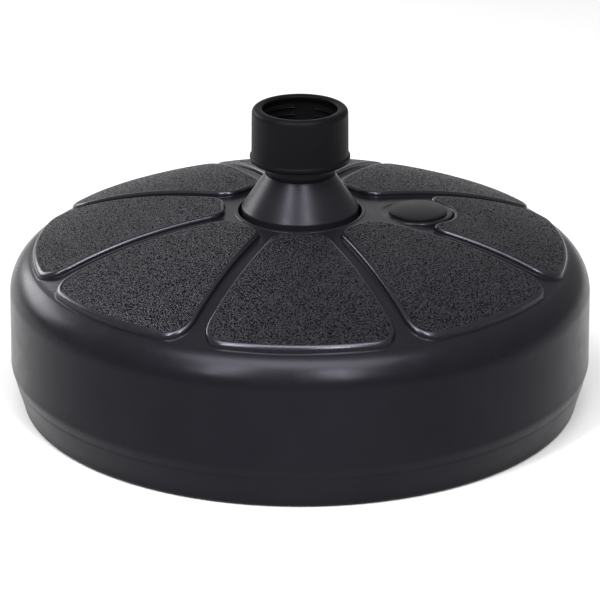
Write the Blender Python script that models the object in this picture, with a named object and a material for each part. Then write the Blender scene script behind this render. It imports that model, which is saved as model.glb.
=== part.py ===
"""A fillable parasol base: a hollow round tank with eight raised panels, a cone and a pole tube in its
middle, a ring nut that draws a slotted collet down on the pole, and a push-in filler cap.

Metres, +Z up. The tank is round about Z and stands on z = 0. The front panel looks along -Y and the cap
is at +X.
"""

import math

import bmesh
import bpy
from mathutils import Matrix, Vector

MM = 0.001

# Tank
WALL_RADIUS = 250 * MM
WALL_TOP = 101 * MM
SHOULDER_RADIUS = 31 * MM
SEAM_HEIGHT = 38.5 * MM
SEAM_ABOVE = (250.7 * MM, 40.5 * MM)
SEAM = (251 * MM, SEAM_HEIGHT)
SEAM_BELOW = (250.3 * MM, 35 * MM)
CREASE = (246.3 * MM, 28.5 * MM)
FOOT_INNER_RADIUS = 216 * MM
FOOT_OUTER_RADIUS = 239.5 * MM
FOOT_CURVE = (241.5 * MM, 4 * MM)
FOOT_SLOPE = 3 * MM
UNDERSIDE_HEIGHT = 5 * MM
DOME_TOP = 168 * MM
DOME_DROP = 38 * MM
DOME_EDGE_RADIUS = 229.4 * MM
DOME_POWER = 2.75
SHELL = 2.6 * MM
TANK_STEPS = 64
HOLLOW_STEPS = 40

# Recess around the cone, and the blind well under it
RECESS_RADIUS = 52.9 * MM
RECESS_FLOOR = 143 * MM
LIP_RADIUS = 56.4 * MM
LIP_TOP = 168.6 * MM
LIP_BEVEL = 1 * MM
WELL_RADIUS = 28.2 * MM
WELL_FLOOR = 9 * MM

# Raised panels
PANELS = 8
PANEL_HEIGHT = 5 * MM
PANEL_INNER_RADIUS = 65 * MM
HALF_GROOVE = 6.6 * MM
INNER_CORNER = 9 * MM
OUTER_CORNER = 18 * MM
BLOCK_MARGIN = 20 * MM
LAYER_MARGIN = 3 * MM
LAYER_DEPTH = 1.5 * MM

# Filler opening and its cap
CAP_CENTRE = 101.3 * MM
PAD_RADIUS = 29.6 * MM
PAD_TOP = 166.3 * MM
PAD_DEPTH = 12 * MM
PAD_MARGIN = 3 * MM
PLAIN_REACH = CAP_CENTRE + 8 * MM
FILLER_RADIUS = 18 * MM
FILLER_WALL = 2.6 * MM
FILLER_BOTTOM = 149 * MM
FILLER_OVERLAP = 2 * MM
CAP_RADIUS = 24.8 * MM
CAP_EDGE = 168.4 * MM
CAP_TOP = 170.8 * MM
PLUG_RADIUS = 17.2 * MM
PLUG_BOTTOM = 151.8 * MM
PLUG_BORE = 13.6 * MM
PLUG_CEILING = 167.3 * MM
PLUG_BEVEL = 1 * MM
GROOVE_RADIUS = 15.6 * MM
GROOVE_HEIGHT = 162.3 * MM
GROOVE_WIDTH = 3 * MM
SEAL_RADIUS = 16.85 * MM
SEAL_THICKNESS = 1.9 * MM

# Cone and pole tube
CONE_BASE = (50 * MM, 172.1 * MM)
CONE_TOP_HEIGHT = 202.4 * MM
CONE_SHELL = 3 * MM
NECK_RADIUS = 30 * MM
NECK_TOP = 227.3 * MM
NECK_BEVEL = 0.6 * MM
TUBE_RADIUS = 27.4 * MM
TUBE_BORE = 24.8 * MM
SEAT_BOTTOM = 196 * MM
SEAT_STEP = 1 * MM
SEAT_RADIUS = 26.3 * MM
SEAT_KNEE = 203 * MM
TAPER = 0.0545

# Thread of the neck and the ring nut
PITCH = 6.5 * MM
THREAD_CREST = 34.3 * MM
NECK_THREAD = (218.2 * MM, 225.4 * MM)
RIDGE_ROOT_WIDTH = 3 * MM
RIDGE_CREST_WIDTH = 1.4 * MM

# Ring nut
NUT_BOTTOM = 214.2 * MM
NUT_TOP = 260.9 * MM
NUT_FLANGE_RADIUS = 42.9 * MM
NUT_FLANGE_TOP = 218.5 * MM
NUT_FOOT = (41.4 * MM, 219.6 * MM)
NUT_HEAD_RADIUS = 41.05 * MM
NUT_RIM_ROUND = 4.75 * MM
NUT_BEVEL = 0.8 * MM
NUT_MOUTH_RADIUS = 32 * MM
NUT_MOUTH_HEIGHT = 258.6 * MM
NUT_LIP_CENTRE = (34.4 * MM, 258.2 * MM)
NUT_LIP_ROUND = 2.4 * MM
NUT_BORE = 35 * MM
NUT_BORE_TOP = 254.1 * MM
NUT_RIDGE_CREST = 32.6 * MM
NUT_THREADS = ((218.2 * MM, 230 * MM, 0), (240 * MM, 253 * MM, 1.5 * MM))
STOP_RING = (32.4 * MM, 236.2 * MM, 237.8 * MM)
BANDS = 4
BAND_WIDTH = 15.4 * MM
BAND_ANGLE = math.radians(83.3)
BAND_CUTTER = (12 * MM, BAND_WIDTH, 80 * MM)

# Collet
COLLET_BORE = 24.4 * MM
COLLET_BOTTOM = 203 * MM
COLLET_GAP = 0.45 * MM
FINGER_TOP = 226 * MM
COLLET_FLANGE_RADIUS = 33.3 * MM
COLLET_FLANGE = (232 * MM, 235.4 * MM)
SLOTS = 8
SLOT_WIDTH = 2 * MM
SLOT_LENGTH = 80 * MM
COLLET_CHAMFER = 1.2 * MM

# Everywhere
REST_GAP = 0.3 * MM
BEVEL = 0.4 * MM
OVERSIZE = 5 * MM
SMOOTH_ANGLE = math.radians(35)


def material(name, colour, roughness):
    made = bpy.data.materials.new(name)
    made.use_nodes = True
    shader = made.node_tree.nodes["Principled BSDF"]
    shader.inputs["Base Color"].default_value = (*colour, 1)
    shader.inputs["Roughness"].default_value = roughness
    shader.inputs["Metallic"].default_value = 0
    return made


def placed(name, bm, parent=None, place=(0, 0, 0)):
    """An object from a bmesh in world coordinates, with its origin at place."""
    bmesh.ops.recalc_face_normals(bm, faces=bm.faces)
    bmesh.ops.translate(bm, verts=bm.verts, vec=-Vector(place))
    mesh = bpy.data.meshes.new(name)
    bm.to_mesh(mesh)
    bm.free()
    made = bpy.data.objects.new(name, mesh)
    bpy.context.scene.collection.objects.link(made)
    made.parent = parent
    made.location = Vector(place) - (parent.location if parent else Vector())
    return made


def finished(piece, surface):
    piece.data.materials.append(surface)
    piece.data.shade_smooth()
    piece.data.set_sharp_from_angle(angle=SMOOTH_ANGLE)
    return piece


def helper(piece):
    piece.hide_render = True
    piece.display_type = "WIRE"
    return piece


def boolean(piece, operation, other):
    modifier = piece.modifiers.new(operation.title(), "BOOLEAN")
    modifier.operation = operation
    modifier.object = helper(other)


def turned(outline, steps, centre=(0, 0)):
    """A bmesh turned about a vertical axis from (radius, height) points. One that starts and ends on the axis
    stays open there."""
    bm = bmesh.new()
    points = [bm.verts.new((centre[0] + radius, centre[1], height)) for radius, height in outline]
    for first, second in zip(points, points[1:]):
        bm.edges.new((first, second))
    if outline[0][0] > 0 or outline[-1][0] > 0:
        bm.edges.new((points[-1], points[0]))
    axis_point = (*centre, 0)
    profile = bm.verts[:] + bm.edges[:]
    bmesh.ops.spin(bm, geom=profile, cent=axis_point, axis=(0, 0, 1), angle=math.tau, steps=steps)
    bmesh.ops.remove_doubles(bm, verts=bm.verts, dist=0.001 * MM)
    return bm


def cylinder(radius, bottom, top, steps, centre=(0, 0)):
    return turned([(0, top), (radius, top), (radius, bottom), (0, bottom)], steps, centre)


def arc(centre, radius, start, end, count):
    """Points on an arc from start to end degrees, both ends included."""
    angles = [math.radians(start + (end - start) * i / (count - 1)) for i in range(count)]
    return [(centre[0] + radius * math.cos(a), centre[1] + radius * math.sin(a)) for a in angles]


def dome(radius):
    """Height of the tank's smooth top at this radius."""
    share = (radius**DOME_POWER - RECESS_RADIUS**DOME_POWER) / (
        DOME_EDGE_RADIUS**DOME_POWER - RECESS_RADIUS**DOME_POWER
    )
    return DOME_TOP - DOME_DROP * share


def dome_points(inner, outer, count, offset=0):
    radii = [inner + (outer - inner) * (i / (count - 1)) ** 0.8 for i in range(count)]
    return [(radius, dome(radius) + offset) for radius in radii]


def tank_outline():
    shoulder = arc((WALL_RADIUS - SHOULDER_RADIUS, WALL_TOP), SHOULDER_RADIUS, 62, 0, 6)
    return [
        (0, WELL_FLOOR),
        (WELL_RADIUS, WELL_FLOOR),
        (WELL_RADIUS, RECESS_FLOOR),
        (RECESS_RADIUS, RECESS_FLOOR),
        (RECESS_RADIUS, LIP_TOP - LIP_BEVEL),
        (RECESS_RADIUS + LIP_BEVEL, LIP_TOP),
        (LIP_RADIUS - LIP_BEVEL, LIP_TOP),
        *dome_points(LIP_RADIUS, DOME_EDGE_RADIUS, 7),
        *shoulder,
        SEAM_ABOVE,
        SEAM,
        SEAM_BELOW,
        CREASE,
        FOOT_CURVE,
        (FOOT_OUTER_RADIUS, 0),
        (FOOT_INNER_RADIUS, 0),
        (FOOT_INNER_RADIUS - FOOT_SLOPE, UNDERSIDE_HEIGHT),
        (0, UNDERSIDE_HEIGHT),
    ]


def hollow_outline():
    """The water space: a closed ring around the well and the recess, one shell inside the outer faces."""
    inner_wall = WELL_RADIUS + SHELL
    outer_wall = WALL_RADIUS - SHELL
    floor = UNDERSIDE_HEIGHT + SHELL
    shoulder = arc((WALL_RADIUS - SHOULDER_RADIUS, WALL_TOP), SHOULDER_RADIUS - SHELL, 62, 0, 4)
    return [
        (inner_wall, RECESS_FLOOR - SHELL),
        (RECESS_RADIUS + SHELL, RECESS_FLOOR - SHELL),
        *dome_points(RECESS_RADIUS + SHELL, DOME_EDGE_RADIUS - SHELL, 5, -SHELL),
        *shoulder,
        (outer_wall, SEAM_HEIGHT),
        (CREASE[0] - SHELL, CREASE[1]),
        (FOOT_OUTER_RADIUS - SHELL, SHELL),
        (FOOT_INNER_RADIUS + SHELL, SHELL),
        (FOOT_INNER_RADIUS - SHELL, floor),
        (inner_wall, floor),
    ]


def rounded_corner(corner, before, after, radius, count):
    """Points on the fillet of a corner between two neighbouring corners."""
    to_before = (before - corner).normalized()
    to_after = (after - corner).normalized()
    half = to_before.angle(to_after) / 2
    centre = corner + (to_before + to_after).normalized() * radius / math.sin(half)
    start = corner + to_before * radius / math.tan(half) - centre
    end = corner + to_after * radius / math.tan(half) - centre
    turn = start.angle_signed(end)
    return [centre + Matrix.Rotation(-turn * i / (count - 1), 2) @ start for i in range(count)]


def panel_outline():
    """One panel seen from above, about the +X axis, with straight sides parallel to the grooves."""
    half_angle = math.pi / PANELS

    def corner(radius, side):
        """Where the circle of this radius meets the side of the groove."""
        angle = half_angle - math.asin(HALF_GROOVE / radius)
        return Vector((radius * math.cos(angle), side * radius * math.sin(angle)))

    inner_low = corner(PANEL_INNER_RADIUS, -1)
    outer_low = corner(DOME_EDGE_RADIUS, -1)
    outer_high = corner(DOME_EDGE_RADIUS, 1)
    inner_high = corner(PANEL_INNER_RADIUS, 1)
    outer_mid = Vector((DOME_EDGE_RADIUS, 0))
    clear = math.asin((HALF_GROOVE + OUTER_CORNER) / (DOME_EDGE_RADIUS - OUTER_CORNER))
    rim_angle = half_angle - clear
    rim = [
        Vector((DOME_EDGE_RADIUS * math.cos(a), DOME_EDGE_RADIUS * math.sin(a)))
        for a in [rim_angle * (-0.6 + 0.3 * i) for i in range(5)]
    ]
    return [
        *rounded_corner(inner_low, inner_high, outer_low, INNER_CORNER, 4),
        *rounded_corner(outer_low, inner_low, outer_mid, OUTER_CORNER, 6),
        *rim,
        *rounded_corner(outer_high, outer_mid, inner_high, OUTER_CORNER, 6),
        *rounded_corner(inner_high, outer_high, inner_low, INNER_CORNER, 4),
    ]


def panels():
    """The eight panels: upright blocks cut to a layer that follows the dome."""
    bm = bmesh.new()
    outline = panel_outline()
    bottom = DOME_TOP - DOME_DROP - BLOCK_MARGIN
    height = DOME_DROP + 2 * BLOCK_MARGIN
    for i in range(PANELS):
        turn = Matrix.Rotation(math.tau * i / PANELS, 2)
        foot = [bm.verts.new((*(turn @ point), bottom)) for point in outline]
        face = bm.faces.new(foot)
        raised = bmesh.ops.extrude_face_region(bm, geom=[face])["geom"]
        top = [item for item in raised if isinstance(item, bmesh.types.BMVert)]
        bmesh.ops.translate(bm, verts=top, vec=(0, 0, height))
    blocks = placed("panel_blocks", bm)
    outer = DOME_EDGE_RADIUS + LAYER_MARGIN
    inner = LIP_RADIUS + LAYER_MARGIN
    top_line = dome_points(inner, outer, 6, PANEL_HEIGHT)
    low_line = dome_points(inner, outer, 6, -LAYER_DEPTH)
    layer = placed("panel_layer", turned([*top_line, *reversed(low_line)], TANK_STEPS))
    boolean(blocks, "INTERSECT", layer)
    low = DOME_TOP - DOME_DROP
    high = DOME_TOP + DOME_DROP
    room = cylinder(PAD_RADIUS + PAD_MARGIN, low, high, 32, (CAP_CENTRE, 0))
    boolean(blocks, "DIFFERENCE", placed("pad_room", room))
    boolean(blocks, "DIFFERENCE", placed("plain_sector", sector(PLAIN_REACH, low, high)))
    return blocks


def sector(reach, low, high):
    """A three-sided block between the grooves beside the cap, from the tank's middle out to reach."""
    half_width = reach * math.tan(math.pi / PANELS)
    bm = bmesh.new()
    foot = [bm.verts.new((x, y, low)) for x, y in ((0, 0), (reach, -half_width), (reach, half_width))]
    raised = bmesh.ops.extrude_face_region(bm, geom=[bm.faces.new(foot)])["geom"]
    top = [item for item in raised if isinstance(item, bmesh.types.BMVert)]
    bmesh.ops.translate(bm, verts=top, vec=(0, 0, high - low))
    return bm


def make_tank(surface):
    centre = (CAP_CENTRE, 0)
    tank = placed("tank", turned(tank_outline(), TANK_STEPS))
    boolean(tank, "UNION", panels())
    pad = cylinder(PAD_RADIUS, PAD_TOP - PAD_DEPTH, PAD_TOP, 40, centre)
    boolean(tank, "UNION", placed("pad", pad))
    seat = cylinder(PAD_RADIUS, PAD_TOP, PAD_TOP + PAD_DEPTH, 40, centre)
    boolean(tank, "DIFFERENCE", placed("pad_seat", seat))
    boolean(tank, "DIFFERENCE", placed("water_space", turned(hollow_outline(), HOLLOW_STEPS)))
    neck = cylinder(FILLER_RADIUS + FILLER_WALL, FILLER_BOTTOM, PAD_TOP - FILLER_OVERLAP, 32, centre)
    boolean(tank, "UNION", placed("filler_neck", neck))
    hole = cylinder(FILLER_RADIUS, FILLER_BOTTOM - OVERSIZE, PAD_TOP + OVERSIZE, 40, centre)
    boolean(tank, "DIFFERENCE", placed("filler_hole", hole))
    return finished(tank, surface)


def make_cone(surface, parent):
    """The smooth cone over the recess, with a skirt down to the recess floor and a hole for the tube."""
    base_radius, base_height = CONE_BASE
    run = base_radius - NECK_RADIUS
    rise = CONE_TOP_HEIGHT - base_height
    slope = rise / run
    drop = CONE_SHELL * math.hypot(run, rise) / run
    hole = TUBE_RADIUS + 2 * REST_GAP
    skirt_bore = base_radius - CONE_SHELL
    outline = [
        (hole, CONE_TOP_HEIGHT),
        (NECK_RADIUS, CONE_TOP_HEIGHT),
        (base_radius - BEVEL, base_height + BEVEL * slope),
        (base_radius, base_height - BEVEL),
        (base_radius, RECESS_FLOOR + REST_GAP),
        (skirt_bore, RECESS_FLOOR + REST_GAP),
        (skirt_bore, base_height + CONE_SHELL * slope - drop),
        (hole, base_height + (base_radius - hole) * slope - drop),
    ]
    return finished(placed("neck_cone", turned(outline, 48), parent), surface)


def ridge(root, crest, start, end, phase):
    """A helical ridge from height start to height end. Its middle crosses the +X axis at height phase, and
    one pitch higher each turn."""
    bm = bmesh.new()
    per_turn = 20
    first = math.ceil((start - phase) / PITCH * per_turn)
    last = math.floor((end - phase) / PITCH * per_turn)
    half_root = RIDGE_ROOT_WIDTH / 2
    half_crest = RIDGE_CREST_WIDTH / 2
    section = [(root, -half_root), (crest, -half_crest), (crest, half_crest), (root, half_root)]
    rings = []
    for step in range(first, last + 1):
        angle = math.tau * step / per_turn
        middle = phase + PITCH * step / per_turn
        place = Vector((math.cos(angle), math.sin(angle), 0))
        ring = [place * radius + Vector((0, 0, middle + height)) for radius, height in section]
        rings.append([bm.verts.new(point) for point in ring])
    for low, high in zip(rings, rings[1:]):
        for i in range(4):
            bm.faces.new((low[i], low[i - 1], high[i - 1], high[i]))
    bm.faces.new(rings[0])
    bm.faces.new(rings[-1])
    return bm


def make_tube(surface, parent):
    """The pole tube: a long guide in the well, a tapered seat for the collet and the threaded neck."""
    shoulder = CONE_TOP_HEIGHT + REST_GAP
    mouth = SEAT_RADIUS + (NECK_TOP - SEAT_KNEE) * TAPER
    outline = [
        (mouth, NECK_TOP),
        (NECK_RADIUS - NECK_BEVEL, NECK_TOP),
        (NECK_RADIUS, NECK_TOP - NECK_BEVEL),
        (NECK_RADIUS, shoulder),
        (TUBE_RADIUS, shoulder),
        (TUBE_RADIUS, WELL_FLOOR + REST_GAP),
        (TUBE_BORE, WELL_FLOOR + REST_GAP),
        (TUBE_BORE, SEAT_BOTTOM - SEAT_STEP),
        (SEAT_RADIUS, SEAT_BOTTOM),
        (SEAT_RADIUS, SEAT_KNEE),
    ]
    tube = placed("pole_tube", turned(outline, 40), parent)
    thread = ridge(NECK_RADIUS - BEVEL, THREAD_CREST, *NECK_THREAD, NECK_THREAD[0])
    boolean(tube, "UNION", placed("neck_thread", thread))
    return finished(tube, surface)


def make_nut(surface, parent):
    """The ring nut: a rounded rim, a foot flange, a stop ring over the collet, and thread ridges that plain
    bands interrupt."""
    rim_centre = (NUT_HEAD_RADIUS - NUT_RIM_ROUND, NUT_TOP - NUT_RIM_ROUND)
    outline = [
        (NUT_MOUTH_RADIUS, NUT_MOUTH_HEIGHT),
        *arc(NUT_LIP_CENTRE, NUT_LIP_ROUND, 145, 90, 3),
        *arc(rim_centre, NUT_RIM_ROUND, 90, 0, 6),
        NUT_FOOT,
        (NUT_FLANGE_RADIUS, NUT_FLANGE_TOP),
        (NUT_FLANGE_RADIUS, NUT_BOTTOM + NUT_BEVEL),
        (NUT_FLANGE_RADIUS - NUT_BEVEL, NUT_BOTTOM),
        (NUT_BORE + BEVEL, NUT_BOTTOM),
        (NUT_BORE, NUT_BOTTOM + BEVEL),
        (NUT_BORE, NUT_BORE_TOP),
    ]
    nut = placed("clamp_nut", turned(outline, 48), parent, parent.location)
    root = NUT_BORE + BEVEL
    ring_radius, ring_bottom, ring_top = STOP_RING
    ring = [(root, ring_top), (root, ring_bottom), (ring_radius, ring_bottom), (ring_radius, ring_top)]
    pieces = [placed("stop_ring", turned(ring, 24))]
    phase = NECK_THREAD[0] + PITCH / 2
    for start, end, shift in NUT_THREADS:
        pieces.append(placed("nut_thread", ridge(root, NUT_RIDGE_CREST, start, end, phase + shift)))
    bands = bmesh.new()
    for i in range(BANDS):
        angle = BAND_ANGLE + math.tau * i / BANDS
        size = Matrix.Diagonal((*BAND_CUTTER, 1))
        place = Matrix.Rotation(angle, 4, "Z") @ Matrix.Translation((NUT_BORE, 0, NUT_MOUTH_HEIGHT))
        bmesh.ops.create_cube(bands, size=1, matrix=place @ size)
    band_cutter = placed("plain_bands", bands)
    for piece in pieces:
        boolean(piece, "DIFFERENCE", band_cutter)
        boolean(nut, "UNION", piece)
    return finished(nut, surface)


def make_collet(surface, parent):
    """The split sleeve: fingers in the tapered seat, and a flange held between the nut's ridges and its stop
    ring."""
    outer = SEAT_RADIUS - COLLET_GAP
    flange_bottom, flange_top = COLLET_FLANGE
    outline = [
        (COLLET_BORE + COLLET_CHAMFER, flange_top),
        (COLLET_FLANGE_RADIUS, flange_top),
        (COLLET_FLANGE_RADIUS, flange_bottom),
        (outer + (flange_bottom - COLLET_BOTTOM) * TAPER, flange_bottom),
        (outer, COLLET_BOTTOM),
        (COLLET_BORE, COLLET_BOTTOM),
        (COLLET_BORE, flange_top - COLLET_CHAMFER),
    ]
    collet = placed("clamp_collet", turned(outline, 40), parent, parent.location)
    slot_bottom = COLLET_BOTTOM - OVERSIZE
    for i in range(SLOTS // 2):
        size = Matrix.Diagonal((SLOT_LENGTH, SLOT_WIDTH, FINGER_TOP - slot_bottom, 1))
        middle = Matrix.Translation((0, 0, (FINGER_TOP + slot_bottom) / 2))
        turn = Matrix.Rotation(math.tau * (i + 0.25) / SLOTS, 4, "Z")
        bar = bmesh.new()
        bmesh.ops.create_cube(bar, size=1, matrix=middle @ turn @ size)
        boolean(collet, "DIFFERENCE", placed("slot", bar))
    return finished(collet, surface)


def make_cap(surface, parent):
    """The push-in cap: a low domed head and a hollow plug with a groove for the seal."""
    groove_top = GROOVE_HEIGHT + GROOVE_WIDTH / 2
    groove_bottom = GROOVE_HEIGHT - GROOVE_WIDTH / 2
    crown_drop = CAP_TOP - CAP_EDGE - BEVEL
    crown = [(CAP_RADIUS * share, CAP_TOP - crown_drop * share**2) for share in (0, 0.5, 0.85, 0.96)]
    outline = [
        *crown,
        (CAP_RADIUS, CAP_EDGE),
        (CAP_RADIUS, PAD_TOP + REST_GAP),
        (PLUG_RADIUS, PAD_TOP + REST_GAP),
        (PLUG_RADIUS, groove_top),
        (GROOVE_RADIUS, groove_top),
        (GROOVE_RADIUS, groove_bottom),
        (PLUG_RADIUS, groove_bottom),
        (PLUG_RADIUS, PLUG_BOTTOM + PLUG_BEVEL),
        (PLUG_RADIUS - PLUG_BEVEL, PLUG_BOTTOM),
        (PLUG_BORE, PLUG_BOTTOM),
        (PLUG_BORE, PLUG_CEILING),
        (0, PLUG_CEILING),
    ]
    cap = placed("filler_cap", turned(outline, 40, (CAP_CENTRE, 0)), parent, parent.location)
    return finished(cap, surface)


def make_seal(surface, parent):
    """The round seal in the plug's groove."""
    section = arc((SEAL_RADIUS, GROOVE_HEIGHT), SEAL_THICKNESS / 2, 0, 300, 6)
    seal = placed("cap_seal", turned(section, 32, (CAP_CENTRE, 0)), parent, parent.location)
    return finished(seal, surface)


def axis_empty(name, place, parent=None):
    empty = bpy.data.objects.new(name, None)
    empty.location = place
    bpy.context.scene.collection.objects.link(empty)
    empty.parent = parent
    return empty


def main():
    for old in list(bpy.data.objects):
        bpy.data.objects.remove(old)
    shell = material("tank_shell", (0.022, 0.021, 0.025), 0.42)
    gloss = material("cone_shell", (0.026, 0.025, 0.029), 0.3)
    matte = material("nut_body", (0.016, 0.016, 0.016), 0.55)
    tube_shell = material("tube_shell", (0.015, 0.015, 0.016), 0.5)
    clip = material("collet_body", (0.014, 0.014, 0.015), 0.5)
    lid = material("cap_body", (0.024, 0.024, 0.026), 0.38)
    rubber = material("seal_rubber", (0.01, 0.01, 0.01), 0.8)

    tank = make_tank(shell)
    make_cone(gloss, tank)
    make_tube(tube_shell, tank)
    clamp_axis = axis_empty("clamp_axis", (0, 0, NUT_BOTTOM))
    make_collet(clip, clamp_axis)
    make_nut(matte, clamp_axis)
    cap_axis = axis_empty("cap_axis", (CAP_CENTRE, 0, PAD_TOP))
    make_cap(lid, cap_axis)
    make_seal(rubber, cap_axis)


main()
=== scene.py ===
"""The looks of the fillable parasol base: smooth high-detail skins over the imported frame, moulded-plastic
materials, a plain pale floor, soft studio light and the camera. Lengths are millimetres up to the studio,
turned into metres by MM where a mesh or a material is made. The studio's own lengths are metres."""

import math

import bmesh
import bpy
import numpy as np
from mathutils import Matrix, Vector


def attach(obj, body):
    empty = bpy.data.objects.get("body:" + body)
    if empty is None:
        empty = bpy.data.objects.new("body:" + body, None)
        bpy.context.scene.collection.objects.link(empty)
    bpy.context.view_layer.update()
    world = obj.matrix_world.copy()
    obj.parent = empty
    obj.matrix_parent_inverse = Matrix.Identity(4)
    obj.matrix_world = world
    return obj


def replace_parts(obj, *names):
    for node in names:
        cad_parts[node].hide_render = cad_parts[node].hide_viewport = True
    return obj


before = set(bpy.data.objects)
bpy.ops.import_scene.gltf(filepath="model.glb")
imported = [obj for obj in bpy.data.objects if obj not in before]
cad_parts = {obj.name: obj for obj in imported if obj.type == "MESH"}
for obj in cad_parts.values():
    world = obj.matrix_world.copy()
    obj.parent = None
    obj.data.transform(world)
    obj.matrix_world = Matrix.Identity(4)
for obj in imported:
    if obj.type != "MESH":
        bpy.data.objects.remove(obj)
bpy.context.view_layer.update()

MM = 0.001
SMOOTH_ANGLE = 35
MERGE_M = 0.00001

# Tank, as in the frame apart from the softer seam
WALL_RADIUS = 250.0
WALL_TOP = 101.0
SHOULDER_RADIUS = 31.0
SHOULDER_START = 232.0
DOME_START = 57.4
DOME_END = 231.0
DOME_TOP = 168.0
DOME_DROP = 38.0
DOME_EDGE = 229.4
DOME_POWER = 2.75
RECESS_RADIUS = 52.9
RECESS_FLOOR = 143.0
RECESS_FILLET = 1.5
WELL_RADIUS = 28.2
WELL_FLOOR = 9.0
SHELL = 2.6
UNDERSIDE = 5.0
FOOT_INNER = 216.0
FOOT_OUTER = 237.6
FOOT_CORNER = (237.4, 4.2)
FOOT_TOP = (247.5, 25.2)
FOOT_LOW = (241.7, 5.0)
# The mould seam, from the wall's widest ring down to the foot
SEAM = (
    (250.8, 42.0),
    (250.92, 40.6),
    (250.95, 39.2),
    (250.85, 37.9),
    (250.6, 36.6),
    (250.25, 35.3),
    (249.85, 34.0),
    (249.45, 32.7),
    (249.05, 31.4),
    (248.76, 30.6),
    (248.58, 30.1),
    (248.46, 29.5),
    (248.3, 28.5),
    (248.1, 27.4),
    (247.85, 26.4),
)

# Raised panels
PANELS = 8
PANEL_HEIGHT = 5.0
PANEL_TOP_INNER = 68.0
PANEL_TOP_OUTER = 226.6
HALF_GROOVE = 8.9
INNER_CORNER = 12.0
OUTER_CORNER = 18.0
PAD_CLEARANCE = 33.8
HORN_CORNER = 14.0
# The search for each rim starts between a radius inside every panel and one past the rim
PANEL_MIDDLE = 180.0
RIM_SEARCH_INNER = 50.0
RIM_SEARCH_OUTER = 235.0
RIM_SEARCH_STEPS = 40
INSIDE_SHARE = 0.99999

# Filler
CAP_X = 101.3
PAD_RADIUS = 29.6
PAD_TOP = 166.3
PAD_DEPTH = 14.0
PAD_ROUND = 1.3
FILLER_RADIUS = 18.0
FILLER_BOTTOM = 144.0
FILLER_NECK_RADIUS = 20.6
FILLER_NECK_BOTTOM = 149.0
CAP_RADIUS = 24.8
CAP_TOP = 170.8
CAP_RISE = 2.0
CAP_POWER = 2.2
PLUG_RADIUS = 17.2
PLUG_BORE = 13.6
PLUG_BOTTOM = 151.8
SEAL_CENTRE = (16.85, 162.3)
SEAL_RADIUS = 0.95

# Cone and tube
NECK_RADIUS = 30.0
CONE_TOP = 202.4
CONE_BASE_RADIUS = 50.0
CONE_BASE = 172.1
CONE_HOLE = 28.1
SKIRT_INNER = 47.0
STAND_GAP = 0.3
TUBE_RADIUS = 27.4
TUBE_BORE = 24.8
TUBE_SEAT = 195.0
TUBE_MOUTH = 27.62
NECK_TOP = 227.3

# Threads, nut and collet
PITCH = 6.5
THREAD_START = 218.2
THREAD_END = 225.4
NECK_CREST = 34.3
HALF_ROOT = 1.5
HALF_CREST = 0.7
NUT_BORE = 35.0
NUT_BORE_TOP = 253.2
NUT_BORE_BOTTOM = 215.2
NUT_HEAD_RADIUS = 41.05
NUT_HEAD = 255.2
NUT_FOOT = (41.4, 219.8)
NUT_RIM_ROUND = 4.75
NUT_RIDGE_ROOT = 35.4
# Name, crest, start, end and shift of each ridge inside the nut
NUT_RIDGES = (("low_thread", 32.6, 218.2, 230.0, 0.0), ("high_thread", 32.8, 240.0, 253.0, 1.5))
NUT_SIDE = 40.5
RIBS = 180
RIB_HEIGHT = 0.05
RIB_START = 219.7
RIB_END = 254.5
BANDS = 4
BAND_ANGLE = 83.3
BAND_WIDTH = 15.4
COLLET_BORE = 24.4
COLLET_BOTTOM = 203.0
COLLET_TOP = 234.0
COLLET_NECK = (27.43, 231.4)
COLLET_TIP = (25.87, 203.6)
SLOT_BARS = 4
SLOT_TOP = 226
SLOT_DEPTH = 33
SLOT_WIDTH = 2
SLOT_LENGTH = 80


# Meshes ---------------------------------------------------------------------------------------------------


def new_object(name, points, faces, smooth_angle=SMOOTH_ANGLE):
    """An object from points in millimetres."""
    mesh = bpy.data.meshes.new(name)
    mesh.from_pydata((np.asarray(points, float) * MM).tolist(), [], [tuple(map(int, f)) for f in faces])
    mesh.validate()
    made = bpy.data.objects.new(name, mesh)
    bpy.context.scene.collection.objects.link(made)
    tidy_normals(made, smooth_angle)
    return made


def tidy_normals(piece, smooth_angle=SMOOTH_ANGLE):
    """Merges double points, turns the faces outwards and keeps edges over the angle sharp."""
    bm = bmesh.new()
    bm.from_mesh(piece.data)
    bmesh.ops.remove_doubles(bm, verts=bm.verts, dist=MERGE_M)
    bmesh.ops.recalc_face_normals(bm, faces=bm.faces)
    bm.to_mesh(piece.data)
    bm.free()
    piece.data.shade_smooth()
    piece.data.set_sharp_from_angle(angle=math.radians(smooth_angle))


def turned(name, outline, steps, centre=0.0, closed=True, ripple=None):
    """A surface turned about the vertical axis at x = centre from (radius, height) points. A closed outline
    joins its last point to its first. A ripple adds to the radius."""
    outline = np.asarray(outline, float)
    angles = np.arange(steps) * math.tau / steps
    radius = np.repeat(outline[:, 0][None, :], steps, 0)
    height = np.repeat(outline[:, 1][None, :], steps, 0)
    if ripple is not None:
        radius = radius + ripple(radius, height, angles[:, None])
    x = centre + radius * np.cos(angles)[:, None]
    y = radius * np.sin(angles)[:, None]
    points = np.stack([x, y, height], -1).reshape(-1, 3)
    count = len(outline)
    columns = np.arange(count if closed else count - 1)
    here = np.arange(steps)[:, None] * count
    there = (np.arange(steps)[:, None] + 1) % steps * count
    after = (columns + 1) % count
    faces = np.stack([here + columns, there + columns, there + after, here + after], -1).reshape(-1, 4)
    return new_object(name, points, faces)


def arc(centre, radius, start, end, count):
    """Points on a circle, between two angles in degrees."""
    angles = np.radians(np.linspace(start, end, count))
    return [(centre[0] + radius * math.cos(a), centre[1] + radius * math.sin(a)) for a in angles]


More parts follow.
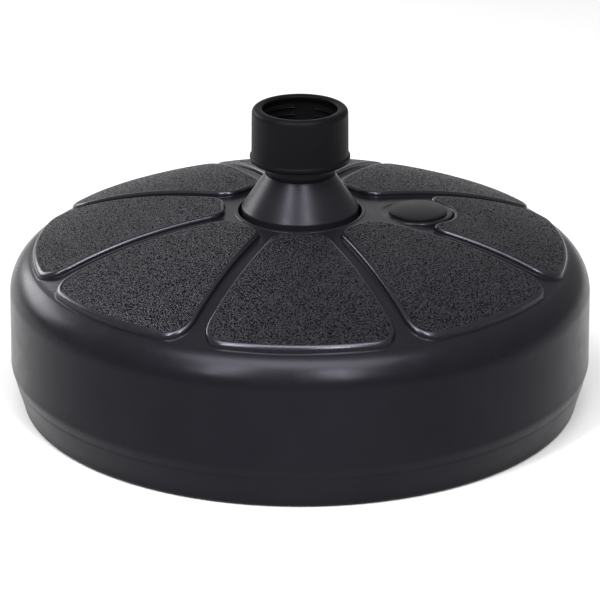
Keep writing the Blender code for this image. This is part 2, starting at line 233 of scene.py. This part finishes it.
def between(first, last, count):
    """Points from first to last, both ends left out."""
    shares = np.linspace(0, 1, count + 2)[1:-1]
    return [(first[0] + (last[0] - first[0]) * s, first[1] + (last[1] - first[1]) * s) for s in shares]


def dome(radius):
    """Height of the tank's smooth top, over the dome and the round shoulder."""
    radius = np.asarray(radius, float)
    share = (radius**DOME_POWER - RECESS_RADIUS**DOME_POWER) / (
        DOME_EDGE**DOME_POWER - RECESS_RADIUS**DOME_POWER
    )
    over_dome = DOME_TOP - DOME_DROP * share
    beyond = radius - (WALL_RADIUS - SHOULDER_RADIUS)
    over_shoulder = WALL_TOP + np.sqrt(np.maximum(SHOULDER_RADIUS**2 - beyond**2, 0))
    return np.where(radius < SHOULDER_START, over_dome, over_shoulder)


def cut(piece, operation, other):
    """Applies a Boolean and removes the other object."""
    modifier = piece.modifiers.new(operation.title(), "BOOLEAN")
    modifier.operation = operation
    modifier.object = other
    graph = bpy.context.evaluated_depsgraph_get()
    made = bpy.data.meshes.new_from_object(piece.evaluated_get(graph))
    piece.modifiers.clear()
    old = piece.data
    piece.data = made
    made.name = old.name
    bpy.data.meshes.remove(old)
    bpy.data.objects.remove(other)


def helix(name, root, crest, start, end, phase, gaps=(), per_turn=96):
    """A thread ridge with a rounded crest. It stops at each gap, given as angles in degrees."""
    flank = [(root, -HALF_ROOT), (crest - 0.5, -HALF_CREST - 0.15), (crest - 0.12, -HALF_CREST + 0.25)]
    section = flank + [(crest, 0.0)] + [(r, -z) for r, z in reversed(flank)]
    first = math.ceil((start - phase) / PITCH * per_turn)
    last = math.floor((end - phase) / PITCH * per_turn)
    runs = [[]]
    for step in range(first, last + 1):
        angle = math.tau * step / per_turn
        nearest = min((abs((math.degrees(angle) - g + 180) % 360 - 180) for g in gaps), default=360)
        if math.radians(nearest) * root < BAND_WIDTH / 2:
            if runs[-1]:
                runs.append([])
            continue
        middle = phase + PITCH * step / per_turn
        runs[-1].append([(r * math.cos(angle), r * math.sin(angle), middle + z) for r, z in section])
    return swept(name, [run for run in runs if len(run) > 1], smooth_angle=50)


def swept(name, runs, smooth_angle):
    """A bar for each run of equal rings, closed at both ends."""
    points = []
    faces = []
    for run in runs:
        base = len(points)
        size = len(run[0])
        for ring in run:
            points.extend(ring)
        for i in range(len(run) - 1):
            for j in range(size):
                low = base + i * size + j
                high = base + i * size + (j + 1) % size
                faces.append((low, high, high + size, low + size))
        faces.append([base + j for j in range(size)])
        faces.append([base + (len(run) - 1) * size + j for j in range(size)])
    return new_object(name, points, faces, smooth_angle)


# Tank -----------------------------------------------------------------------------------------------------


def tank_outline():
    """The outer faces, from the well's floor over the dome and the wall to the middle of the underside."""
    well = [(0.0, WELL_FLOOR), (WELL_RADIUS - 1.5, WELL_FLOOR), (WELL_RADIUS, WELL_FLOOR + 1.5)]
    mouth = (WELL_RADIUS + 1.0, RECESS_FLOOR)
    corner = RECESS_RADIUS - RECESS_FILLET
    recess = [
        (WELL_RADIUS, RECESS_FLOOR - 1.0),
        mouth,
        *between(mouth, (corner, RECESS_FLOOR), 4),
        *arc((corner, RECESS_FLOOR + RECESS_FILLET), RECESS_FILLET, -90, 0, 4),
        (RECESS_RADIUS, RECESS_FLOOR + 12.0),
    ]
    lip = [
        *arc((RECESS_RADIUS + 0.9, DOME_TOP - 0.3), 0.9, 180, 90, 5),
        *arc((RECESS_RADIUS + 2.3, DOME_TOP - 1.2), 1.8, 90, 38, 4),
    ]
    shoulder = arc((WALL_RADIUS - SHOULDER_RADIUS, WALL_TOP), SHOULDER_RADIUS, 64, 0, 28)
    wall = [
        *between((WALL_RADIUS, WALL_TOP), SEAM[0], 8),
        *SEAM,
        FOOT_TOP,
        *between(FOOT_TOP, FOOT_LOW, 4),
        *arc(FOOT_CORNER, FOOT_CORNER[1], -2, -78, 7),
        (FOOT_OUTER, 0.0),
    ]
    foot = [
        (FOOT_INNER, 0.0),
        (FOOT_INNER - 1.5, 0.8),
        (FOOT_INNER - 3.0, UNDERSIDE - 0.8),
        (FOOT_INNER - 4.5, UNDERSIDE),
        *between((FOOT_INNER - 4.5, UNDERSIDE), (0.0, UNDERSIDE), 12),
        (0.0, UNDERSIDE),
    ]
    over = [(r, float(dome(r))) for r in np.linspace(DOME_START, DOME_END, 44)]
    return well + recess + lip + over + shoulder + wall + foot


def hollow_outline():
    """The water space, one shell's thickness inside the outer faces."""
    inner = WELL_RADIUS + SHELL
    outer = WALL_RADIUS - SHELL
    floor = UNDERSIDE + SHELL
    radii = np.linspace(RECESS_RADIUS + SHELL, 228.0, 14)
    return [
        (inner, RECESS_FLOOR - SHELL),
        (RECESS_RADIUS + SHELL, RECESS_FLOOR - SHELL),
        *[(r, float(dome(r)) - SHELL) for r in radii],
        *arc((WALL_RADIUS - SHOULDER_RADIUS, WALL_TOP), SHOULDER_RADIUS - SHELL, 62, 0, 8),
        (outer, 38.0),
        (243.6, 28.0),
        (237.0, SHELL),
        (FOOT_INNER + SHELL, SHELL),
        (FOOT_INNER - SHELL, floor),
        (inner, floor),
    ]


def make_tank_body():
    body = turned("tank_body", tank_outline(), 288, closed=False)
    edge = PAD_RADIUS - PAD_ROUND
    pad = [
        (0.0, PAD_TOP),
        (FILLER_RADIUS + 1.0, PAD_TOP),
        *between((FILLER_RADIUS + 1.0, PAD_TOP), (edge, PAD_TOP), 3),
        *arc((edge, PAD_TOP - PAD_ROUND), PAD_ROUND, 90, 0, 5),
        (PAD_RADIUS + 0.2, PAD_TOP - PAD_DEPTH),
        (0.0, PAD_TOP - PAD_DEPTH),
    ]
    cut(body, "UNION", turned("pad", pad, 128, CAP_X, closed=False))
    seat = [
        (0.0, PAD_TOP + PAD_DEPTH),
        (PAD_RADIUS + 5.0, PAD_TOP + PAD_DEPTH),
        (PAD_RADIUS + 2.4, PAD_TOP + 1.1),
        (PAD_RADIUS + 1.0, PAD_TOP + 0.45),
        (PAD_RADIUS - 0.05, PAD_TOP + 0.02),
        (0.0, PAD_TOP + 0.02),
    ]
    cut(body, "DIFFERENCE", turned("pad_seat", seat, 128, CAP_X, closed=False))
    cut(body, "DIFFERENCE", turned("water_space", hollow_outline(), 96))
    neck = [
        (0.0, FILLER_NECK_BOTTOM),
        (FILLER_NECK_RADIUS, FILLER_NECK_BOTTOM),
        (FILLER_NECK_RADIUS, PAD_TOP - 2.5),
        (0.0, PAD_TOP - 2.5),
    ]
    cut(body, "UNION", turned("filler_neck", neck, 64, CAP_X, closed=False))
    hole = [
        (0.0, PAD_TOP + 5.0),
        (FILLER_RADIUS + 1.4, PAD_TOP + 5.0),
        (FILLER_RADIUS + 1.0, PAD_TOP - 0.1),
        (FILLER_RADIUS + 0.3, PAD_TOP - 0.6),
        (FILLER_RADIUS, PAD_TOP - 1.4),
        (FILLER_RADIUS, FILLER_BOTTOM),
        (0.0, FILLER_BOTTOM),
    ]
    cut(body, "DIFFERENCE", turned("filler_hole", hole, 64, CAP_X, closed=False))
    tidy_normals(body, smooth_angle=32)
    return body


def edge_distance(radius, angle, beside_pad):
    """Distance from a point of a panel to its rim, positive inside. Angles count from the panel's middle."""
    side = radius * np.sin(math.pi / PANELS - np.abs(angle)) - HALF_GROOVE
    outer = PANEL_TOP_OUTER - radius
    if beside_pad:
        inner = np.hypot(radius * np.cos(angle) - CAP_X, radius * np.sin(angle)) - PAD_CLEARANCE
        inner = np.where(radius * np.cos(angle) < CAP_X, -np.abs(inner), inner)
        corner = HORN_CORNER
    else:
        inner = radius - PANEL_TOP_INNER
        corner = INNER_CORNER
    return np.minimum(rounded(side, inner, corner), rounded(side, outer, OUTER_CORNER))


def rounded(first, second, corner):
    """Distance to a corner of two edges, rounded to this radius."""
    short_first = np.maximum(corner - first, 0)
    short_second = np.maximum(corner - second, 0)
    return np.where(
        (short_first > 0) & (short_second > 0),
        corner - np.hypot(short_first, short_second),
        np.minimum(first, second),
    )


def panel_grid(beside_pad, columns=57, rows=73):
    """(rows, columns, 2) places over a panel: columns fan out with its sides, rows run from rim to rim."""
    across = np.sin(np.linspace(-1, 1, columns) * math.pi / 2)
    across = 0.5 * across + 0.5 * np.linspace(-1, 1, columns)

    def angle(radius):
        return across * (math.pi / PANELS - np.arcsin(HALF_GROOVE / radius))

    def rim(outside):
        inside = np.full(columns, PANEL_MIDDLE)
        outside = np.full(columns, outside)
        for _ in range(RIM_SEARCH_STEPS):
            middle = (inside + outside) / 2
            held = edge_distance(middle, angle(middle) * INSIDE_SHARE, beside_pad) > 0
            inside = np.where(held, middle, inside)
            outside = np.where(held, outside, middle)
        return inside

    start = rim(CAP_X + 1.0 if beside_pad else RIM_SEARCH_INNER)
    end = rim(RIM_SEARCH_OUTER)
    share = (1 - np.cos(np.linspace(0, math.pi, rows))) / 2
    radius = start[None, :] + (end - start)[None, :] * share[:, None]
    return np.stack([radius * np.cos(angle(radius)), radius * np.sin(angle(radius))], -1)


# How far out from the flat top's rim, and how high over the dome, the panel's edge runs
PANEL_EDGE = (
    (0.5, 4.97),
    (1.05, 4.87),
    (1.6, 4.68),
    (2.1, 4.38),
    (2.5, 3.95),
    (2.78, 3.45),
    (2.95, 2.9),
    (3.1, 2.2),
    (3.25, 1.4),
    (3.37, 0.8),
    (3.62, 0.35),
    (4.0, 0.1),
    (4.5, 0.0),
    (5.0, -0.25),
)
# Rings of the edge that take the glossy rim's surface; the rest take the side's
RIM_RINGS = 7


def make_panel(index, *surfaces):
    """One raised panel with its rounded rim, steep side and foot fillet. The surfaces are those of its top,
    its rim and its side."""
    grid = panel_grid(beside_pad=index == 0)
    rows, columns = grid.shape[:2]
    flat = grid.reshape(-1, 2)
    order = np.arange(rows * columns).reshape(rows, columns)
    loop = np.concatenate([order[0, :-1], order[:-1, -1], order[-1, :0:-1], order[:0:-1, 0]])
    rim = flat[loop]
    along = np.roll(rim, -1, 0) - np.roll(rim, 1, 0)
    along /= np.linalg.norm(along, axis=1)[:, None]
    outward = np.stack([-along[:, 1], along[:, 0]], -1)
    places = [flat]
    heights = [dome(np.hypot(*flat.T)) + PANEL_HEIGHT]
    for out, up in PANEL_EDGE:
        ring = rim + outward * out
        places.append(ring)
        heights.append(dome(np.hypot(*ring.T)) + up)
    places = np.concatenate(places)
    turn = math.tau * index / PANELS
    x = places[:, 0] * math.cos(turn) - places[:, 1] * math.sin(turn)
    y = places[:, 0] * math.sin(turn) + places[:, 1] * math.cos(turn)
    points = np.stack([x, y, np.concatenate(heights)], -1)
    a = order[:-1, :-1]
    top = np.stack([a, a + columns, a + columns + 1, a + 1], -1).reshape(-1, 4)
    sides = []
    inner = loop
    for ring in range(len(PANEL_EDGE)):
        outer = rows * columns + ring * len(loop) + np.arange(len(loop))
        sides.append(np.stack([inner, outer, np.roll(outer, -1), np.roll(inner, -1)], -1))
        inner = outer
    sides = np.concatenate(sides)
    faces = np.concatenate([top, sides])
    mesh = bpy.data.meshes.new(f"tank_panel_{index + 1}")
    mesh.from_pydata((points * MM).tolist(), [], faces.tolist())
    for surface in surfaces:
        mesh.materials.append(surface)
    rim_faces = RIM_RINGS * len(loop)
    counts = [len(top), rim_faces, len(sides) - rim_faces]
    mesh.polygons.foreach_set("material_index", np.repeat([0, 1, 2], counts).astype(np.int32))
    mesh.shade_smooth()
    made = bpy.data.objects.new(mesh.name, mesh)
    bpy.context.scene.collection.objects.link(made)
    bm = bmesh.new()
    bm.from_mesh(mesh)
    bmesh.ops.recalc_face_normals(bm, faces=bm.faces)
    if sum(face.normal.z for face in bm.faces) < 0:
        bmesh.ops.reverse_faces(bm, faces=bm.faces)
    bm.to_mesh(mesh)
    bm.free()
    return made


# Cone, tube, nut, collet and cap --------------------------------------------------------------------------


def make_cone():
    slope = (CONE_TOP - CONE_BASE) / (CONE_BASE_RADIUS - NECK_RADIUS)
    base = (CONE_BASE_RADIUS - 0.5, CONE_BASE + 0.5 * slope)
    skirt_top = (CONE_BASE_RADIUS, CONE_BASE - 1.2)
    skirt_low = (CONE_BASE_RADIUS, RECESS_FLOOR + 1.0)
    outline = [
        (CONE_HOLE, CONE_TOP),
        (29.2, CONE_TOP),
        (29.7, CONE_TOP - 0.1),
        (30.05, CONE_TOP - 0.5),
        *between((30.1, CONE_TOP - 0.9), base, 14),
        base,
        (CONE_BASE_RADIUS - 0.12, CONE_BASE + 0.3),
        (CONE_BASE_RADIUS, CONE_BASE - 0.4),
        skirt_top,
        *between(skirt_top, skirt_low, 5),
        skirt_low,
        (CONE_BASE_RADIUS - 0.6, RECESS_FLOOR + STAND_GAP),
        (SKIRT_INNER, RECESS_FLOOR + STAND_GAP),
        (SKIRT_INNER, CONE_BASE - 0.6),
        (CONE_HOLE, CONE_TOP - 2.4),
    ]
    return turned("cone_skin", outline, 192)


def make_tube():
    neck_top = (NECK_RADIUS, NECK_TOP - 0.9)
    neck_low = (NECK_RADIUS, CONE_TOP + 1.0)
    outer_top = (TUBE_RADIUS, CONE_TOP + STAND_GAP)
    outer_low = (TUBE_RADIUS, WELL_FLOOR + STAND_GAP)
    bore_low = (TUBE_BORE, WELL_FLOOR + STAND_GAP)
    bore_top = (TUBE_BORE, TUBE_SEAT)
    outline = [
        (TUBE_MOUTH, NECK_TOP - 0.5),
        (TUBE_MOUTH + 0.5, NECK_TOP),
        (NECK_RADIUS - 0.8, NECK_TOP),
        (NECK_RADIUS - 0.2, NECK_TOP - 0.3),
        neck_top,
        *between(neck_top, neck_low, 6),
        neck_low,
        (NECK_RADIUS - 0.5, CONE_TOP + STAND_GAP),
        outer_top,
        *between(outer_top, outer_low, 8),
        outer_low,
        bore_low,
        *between(bore_low, bore_top, 8),
        bore_top,
        (26.3, TUBE_SEAT + 1.0),
        (26.3, TUBE_SEAT + 8.0),
    ]
    tube = turned("tube_skin", outline, 128)
    thread = helix("neck_thread", NECK_RADIUS - 0.4, NECK_CREST, THREAD_START, THREAD_END, THREAD_START)
    cut(tube, "UNION", thread)
    tidy_normals(tube, smooth_angle=40)
    return tube


def make_nut():
    """The ring nut, with very fine upright ribs between the rim and the foot flange, and its inner ridges."""
    head = (NUT_HEAD_RADIUS, NUT_HEAD)
    bore_low = (NUT_BORE, NUT_BORE_BOTTOM)
    bore_top = (NUT_BORE, NUT_BORE_TOP)
    outline = [
        (32.1, 258.9),
        *arc((33.2, 259.2), 1.1, 190, 110, 5),
        *arc((NUT_HEAD_RADIUS - NUT_RIM_ROUND, 256.1), NUT_RIM_ROUND, 104, 8, 14),
        head,
        *between(head, NUT_FOOT, 14),
        NUT_FOOT,
        (41.6, 219.3),
        (42.4, 218.9),
        (42.8, 218.4),
        (42.9, 217.7),
        (42.85, 215.9),
        (42.5, 214.9),
        (41.8, 214.35),
        (36.0, 214.2),
        (35.3, 214.5),
        bore_low,
        *between(bore_low, bore_top, 12),
        bore_top,
        (34.6, 254.4),
        (33.4, 256.2),
        (32.4, 257.6),
    ]

    def ribs(radius, height, angles):
        body = np.clip((height - RIB_START) / 1.5, 0, 1) * np.clip((RIB_END - height) / 2.5, 0, 1)
        return RIB_HEIGHT * np.cos(angles * RIBS) * (radius > NUT_SIDE) * body

    nut = turned("nut_skin", outline, 720, ripple=ribs)
    gaps = [BAND_ANGLE + 360 / BANDS * i for i in range(BANDS)]
    phase = THREAD_START + PITCH / 2
    ridges = [
        helix(name, NUT_RIDGE_ROOT, crest, start, end, phase + shift, gaps)
        for name, crest, start, end, shift in NUT_RIDGES
    ]
    return nut, [*ridges, make_stop_ring(gaps)]


def make_stop_ring(gaps):
    """The shoulder over the collet, in arcs between the plain bands."""
    section = [(35.4, 236.2), (32.7, 236.2), (32.4, 236.5), (32.4, 237.4), (32.8, 237.8), (35.4, 237.8)]
    half_gap = math.degrees(BAND_WIDTH / 2 / NUT_BORE)
    arcs = []
    for gap in gaps:
        angles = np.radians(np.linspace(gap + half_gap, gap + 360 / BANDS - half_gap, 25))
        arcs.append([[(r * math.cos(a), r * math.sin(a), z) for r, z in section] for a in angles])
    return swept("stop_ring", arcs, smooth_angle=40)


def make_collet():
    outline = [
        (COLLET_BORE, COLLET_TOP),
        (24.7, 234.8),
        (25.6, 235.4),
        (32.8, 235.4),
        (33.2, 235.1),
        (33.3, 234.6),
        (33.3, 232.6),
        (33.0, 232.1),
        (27.9, 232.0),
        COLLET_NECK,
        *between(COLLET_NECK, COLLET_TIP, 6),
        (25.5, COLLET_BOTTOM),
        (COLLET_BORE, COLLET_BOTTOM),
        *between((COLLET_BORE, COLLET_BOTTOM), (COLLET_BORE, COLLET_TOP), 6),
    ]
    collet = turned("collet_skin", outline, 128)
    for i in range(SLOT_BARS):
        bar = bmesh.new()
        bmesh.ops.create_cube(bar, size=1)
        bar.transform(slot_matrix(math.pi * (i + 0.25) / SLOT_BARS))
        mesh = bpy.data.meshes.new("slot")
        bar.to_mesh(mesh)
        bar.free()
        slot = bpy.data.objects.new("slot", mesh)
        bpy.context.scene.collection.objects.link(slot)
        cut(collet, "DIFFERENCE", slot)
    tidy_normals(collet)
    return collet


def slot_matrix(angle):
    """Where a unit cube becomes a bar that cuts two slots, one on each side of the collet."""
    size = Matrix.Diagonal((SLOT_LENGTH * MM, SLOT_WIDTH * MM, SLOT_DEPTH * MM, 1))
    middle = Matrix.Translation((0, 0, (SLOT_TOP - SLOT_DEPTH / 2) * MM))
    return Matrix.Rotation(angle, 4, "Z") @ middle @ size


def make_cap():
    crown = [(CAP_RADIUS * s, CAP_TOP - CAP_RISE * s**CAP_POWER) for s in np.linspace(0, 0.955, 16)]
    outline = [
        *crown,
        (24.3, 168.65),
        (24.65, 168.4),
        (CAP_RADIUS, 167.9),
        (CAP_RADIUS, 167.1),
        (24.6, 166.65),
        (17.8, PAD_TOP + 0.3),
        (PLUG_RADIUS, 165.6),
        (PLUG_RADIUS, 163.9),
        (15.6, 163.8),
        (15.6, 160.8),
        (PLUG_RADIUS, 160.7),
        *between((PLUG_RADIUS, 160.7), (PLUG_RADIUS, 153.2), 3),
        (PLUG_RADIUS, 153.2),
        (16.6, 152.0),
        (16.0, PLUG_BOTTOM),
        (14.0, PLUG_BOTTOM),
        (PLUG_BORE, PLUG_BOTTOM + 0.4),
        (PLUG_BORE, 166.4),
        (13.0, 167.2),
        (0.0, 167.2),
    ]
    return turned("cap_skin", outline, 144, CAP_X, closed=False)


def make_seal():
    return turned("seal_skin", arc(SEAL_CENTRE, SEAL_RADIUS, 0, 345, 24), 128, CAP_X)


# Materials ------------------------------------------------------------------------------------------------

SHEEN_TINT = (0.84, 0.83, 1, 1)
# Where the tint goes from dark to light, on a noise's own scale
TINT_DARK = 0.32
TINT_LIGHT = 0.7

# Each colour is a dark and a light of one plastic; the grain's dark is painted shade for the pebbles' valleys
SHELL_COLOUR = ((0.0068, 0.0065, 0.0085), (0.0088, 0.0084, 0.0108))
GRAIN_COLOUR_WITH_VALLEY_SHADE = ((0.004, 0.0038, 0.005), (0.011, 0.0106, 0.013))
CONE_COLOUR = ((0.0085, 0.0082, 0.01), (0.0105, 0.0101, 0.0122))
NUT_COLOUR = ((0.0036, 0.0036, 0.004), (0.005, 0.005, 0.0055))
TUBE_COLOUR = ((0.0055, 0.0055, 0.0062), (0.007, 0.007, 0.0078))
COLLET_COLOUR = ((0.006, 0.006, 0.0065), (0.008, 0.008, 0.0085))
CAP_COLOUR = ((0.007, 0.0069, 0.0078), (0.0088, 0.0086, 0.0098))
SEAL_COLOUR = ((0.005, 0.005, 0.005), (0.008, 0.008, 0.008))
FLOOR_COLOUR = ((0.93, 0.93, 0.935), (0.95, 0.95, 0.95))

# Height and specular level where the wall's duller sheen ends and the shoulder's begins
WALL_SHEEN = (108, 0.07)
SHOULDER_SHEEN = (129, 0.32)

# Heights of the bumps, and the grain
SKIN_DEPTH = 0.012
LINE_DEPTH = 0.012
SPECK_DEPTH = 0.01
GRAIN_DEPTH = 3.0
GRAIN_SCALE = 740
GRAIN_DETAIL = 1.5
GRAIN_SHEEN = 0.52
GRAIN_MARGIN = 0.09


class Nodes:
    """Short calls for building one material's nodes."""

    def __init__(self, name, colour, roughness, specular):
        self.material = bpy.data.materials.new(name)
        self.material.use_nodes = True
        self.tree = self.material.node_tree
        self.shader = self.tree.nodes["Principled BSDF"]
        self.shader.inputs["Base Color"].default_value = (*colour[0], 1)
        self.shader.inputs["Roughness"].default_value = roughness
        self.shader.inputs["Specular IOR Level"].default_value = specular
        self.shader.inputs["Specular Tint"].default_value = SHEEN_TINT
        self.place = self.add("ShaderNodeTexCoord").outputs["Object"]

    def add(self, kind, **values):
        node = self.tree.nodes.new(kind)
        for key, value in values.items():
            setattr(node, key, value)
        return node

    def link(self, output, node, socket):
        self.tree.links.new(output, node.inputs[socket])

    def noise(self, scale, detail=2.0, stretch=None):
        node = self.add("ShaderNodeTexNoise")
        node.inputs["Scale"].default_value = scale
        node.inputs["Detail"].default_value = detail
        source = self.place
        if stretch:
            mapping = self.add("ShaderNodeMapping")
            mapping.inputs["Scale"].default_value = stretch
            self.link(self.place, mapping, "Vector")
            source = mapping.outputs["Vector"]
        self.link(source, node, "Vector")
        return node.outputs["Fac"]

    def spread(self, output, low, high, margin=0.2):
        """Maps the values within margin of one half onto low to high."""
        node = self.add("ShaderNodeMapRange")
        node.inputs["From Min"].default_value = 0.5 - margin
        node.inputs["From Max"].default_value = 0.5 + margin
        node.inputs["To Min"].default_value = low
        node.inputs["To Max"].default_value = high
        self.link(output, node, "Value")
        return node.outputs["Result"]

    def tint(self, output, colour):
        """Colours the surface from the colour's dark to its light by this output."""
        ramp = self.add("ShaderNodeValToRGB")
        for element, place, shade in zip(ramp.color_ramp.elements, (TINT_DARK, TINT_LIGHT), colour):
            element.position = place
            element.color = (*shade, 1)
        self.link(output, ramp, "Fac")
        self.link(ramp.outputs["Color"], self.shader, "Base Color")

    def bump(self, output, distance, under=None):
        """Raises the surface by the output, over another bump if one is given."""
        node = self.add("ShaderNodeBump")
        node.inputs["Distance"].default_value = distance * MM
        node.inputs["Strength"].default_value = 1.0
        self.link(output, node, "Height")
        if under is not None:
            self.link(under, node, "Normal")
        self.link(node.outputs["Normal"], self.shader, "Normal")
        return node.outputs["Normal"]


def moulded(name, colour, roughness, specular, wave):
    """Smooth moulded plastic, uneven in colour and gloss, with long shallow waves and a fine skin."""
    made = Nodes(name, colour, roughness, specular)
    made.tint(made.noise(scale=14, detail=3), colour)
    gloss = made.spread(made.noise(scale=60, detail=4), roughness - 0.03, roughness + 0.03)
    made.link(gloss, made.shader, "Roughness")
    waves = made.bump(made.noise(scale=16, detail=1), wave)
    made.bump(made.noise(scale=1500), SKIN_DEPTH, under=waves)
    return made.material


def smooth_sheen(material):
    """The wall is a little duller than the shoulder and the top."""
    tree = material.node_tree
    place = tree.nodes.new("ShaderNodeSeparateXYZ")
    tree.links.new(tree.nodes["Texture Coordinate"].outputs["Object"], place.inputs[0])
    rise = tree.nodes.new("ShaderNodeMapRange")
    for end, (height, sheen) in (("Min", WALL_SHEEN), ("Max", SHOULDER_SHEEN)):
        rise.inputs["From " + end].default_value = height * MM
        rise.inputs["To " + end].default_value = sheen
    tree.links.new(place.outputs["Z"], rise.inputs["Value"])
    tree.links.new(rise.outputs["Result"], tree.nodes["Principled BSDF"].inputs["Specular IOR Level"])


def grained(name, colour, roughness):
    """Fine leather grain: rounded pebbles whose colour darkens into the valleys as painted shade, and whose
    valleys are duller than their tops.
    """
    made = Nodes(name, colour, roughness, specular=0.3)
    pebbles = made.noise(GRAIN_SCALE, GRAIN_DETAIL)
    # Painted shade: the colour follows the pebbles' height and is darker in the valleys
    made.tint(pebbles, colour)
    sheen = made.spread(pebbles, 0.0, GRAIN_SHEEN, GRAIN_MARGIN)
    made.link(sheen, made.shader, "Specular IOR Level")
    made.link(made.spread(pebbles, roughness + 0.08, roughness - 0.06), made.shader, "Roughness")
    made.bump(pebbles, GRAIN_DEPTH)
    return made.material


def streaked(name, colour, roughness, specular):
    """Matte plastic with fine upright draw lines."""
    made = Nodes(name, colour, roughness, specular)
    made.tint(made.noise(scale=40, detail=3), colour)
    lines = made.noise(scale=900, stretch=(1, 1, 0.04))
    gloss = made.spread(lines, roughness - 0.04, roughness + 0.04)
    made.link(gloss, made.shader, "Roughness")
    under = made.bump(lines, LINE_DEPTH)
    made.bump(made.noise(scale=1600), SPECK_DEPTH, under=under)
    return made.material


# Scene ----------------------------------------------------------------------------------------------------

# Name, place, target, size and power
LIGHTS = (
    ("overhead", (-0.1, -0.8, 2.3), (0, 0, 0.1), (2.3, 1.0), 50),
    ("key_back_left", (-1.9, 1.65, 1.0), (0, 0, 0.15), (1.5, 0.9), 24),
    ("backdrop", (-1.0, 3.2, 1.1), (0, 0, 0.17), (5.0, 1.7), 11),
    ("strip_left", (-1.0, -1.6, 1.7), (0, 0, 0.15), (0.26, 1.2), 28),
    ("strip_right", (0.55, -1.9, 1.7), (0, 0, 0.15), (0.2, 1.2), 32),
)
WORLD_STRENGTH = 0.27
HALF_FLOOR = 12.0
CAMERA_PLACE = (0, -2.6, 1.114)
CAMERA_DOWN = 21.59
CAMERA_LENS = 193.5
CAMERA_SENSOR = 36


def dress(piece, body, slot, *materials):
    """Gives a piece its materials and the body it rides on. The slot argument is not used."""
    for surface in materials:
        piece.data.materials.append(surface)
    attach(piece, body)
    return piece


def build_object():
    smooth = moulded("smooth_shell", SHELL_COLOUR, roughness=0.29, specular=0.2, wave=0.25)
    smooth_sheen(smooth)
    rim = moulded("rim_shell", SHELL_COLOUR, roughness=0.26, specular=0.7, wave=0.02)
    side = moulded("side_shell", SHELL_COLOUR, roughness=0.28, specular=0.16, wave=0.02)
    grain = grained("grained_shell", GRAIN_COLOUR_WITH_VALLEY_SHADE, roughness=0.36)
    gloss = moulded("cone_shell", CONE_COLOUR, roughness=0.33, specular=0.24, wave=0.06)
    matte = streaked("nut_body", NUT_COLOUR, roughness=0.44, specular=0.07)
    tube_shell = streaked("tube_shell", TUBE_COLOUR, roughness=0.42, specular=0.2)
    clip = moulded("collet_body", COLLET_COLOUR, roughness=0.42, specular=0.2, wave=0.05)
    lid = moulded("cap_body", CAP_COLOUR, roughness=0.36, specular=0.2, wave=0.1)
    rubber = moulded("seal_rubber", SEAL_COLOUR, roughness=0.75, specular=0.2, wave=0.03)

    tank = dress(make_tank_body(), "base", "tank_shell", smooth)
    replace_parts(tank, "tank")
    for index in range(PANELS):
        dress(make_panel(index, grain, rim, side), "base", "tank_shell")
    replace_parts(dress(make_cone(), "base", "cone_shell", gloss), "neck_cone")
    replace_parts(dress(make_tube(), "base", "tube_shell", tube_shell), "pole_tube")
    nut, threads = make_nut()
    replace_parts(dress(nut, "nut", "nut_body", matte), "clamp_nut")
    for piece in threads:
        dress(piece, "nut", "nut_body", matte)
    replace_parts(dress(make_collet(), "collet", "collet_body", clip), "clamp_collet")
    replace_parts(dress(make_cap(), "cap", "cap_body", lid), "filler_cap")
    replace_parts(dress(make_seal(), "cap", "seal_rubber", rubber), "cap_seal")


def area_light(name, place, target, size, power):
    data = bpy.data.lights.new(name, "AREA")
    data.shape = "RECTANGLE"
    data.size, data.size_y = size
    data.energy = power
    made = bpy.data.objects.new(name, data)
    made.location = place
    aim = Vector(target) - Vector(place)
    made.rotation_euler = aim.to_track_quat("-Z", "Y").to_euler()
    bpy.context.scene.collection.objects.link(made)


def build_studio():
    floor = bpy.data.meshes.new("floor")
    half = HALF_FLOOR
    corners = [(-half, -half, 0), (half, -half, 0), (half, half, 0), (-half, half, 0)]
    floor.from_pydata(corners, [], [(0, 1, 2, 3)])
    ground = bpy.data.objects.new("floor", floor)
    bpy.context.scene.collection.objects.link(ground)
    pale = Nodes("floor_paper", FLOOR_COLOUR, roughness=0.9, specular=0.0)
    pale.tint(pale.noise(scale=3), FLOOR_COLOUR)
    floor.materials.append(pale.material)

    world = bpy.data.worlds.new("studio")
    world.use_nodes = True
    background = world.node_tree.nodes["Background"]
    background.inputs["Color"].default_value = (1, 1, 1, 1)
    background.inputs["Strength"].default_value = WORLD_STRENGTH
    bpy.context.scene.world = world

    for light in LIGHTS:
        area_light(*light)
    bpy.context.scene.view_settings.view_transform = "Standard"


def build_camera():
    data = bpy.data.cameras.new("camera")
    data.sensor_width = CAMERA_SENSOR
    data.lens = CAMERA_LENS
    made = bpy.data.objects.new("camera", data)
    made.location = CAMERA_PLACE
    made.rotation_euler = (math.radians(90 - CAMERA_DOWN), 0, 0)
    bpy.context.scene.collection.objects.link(made)
    bpy.context.scene.camera = made


build_object()
build_studio()
build_camera()
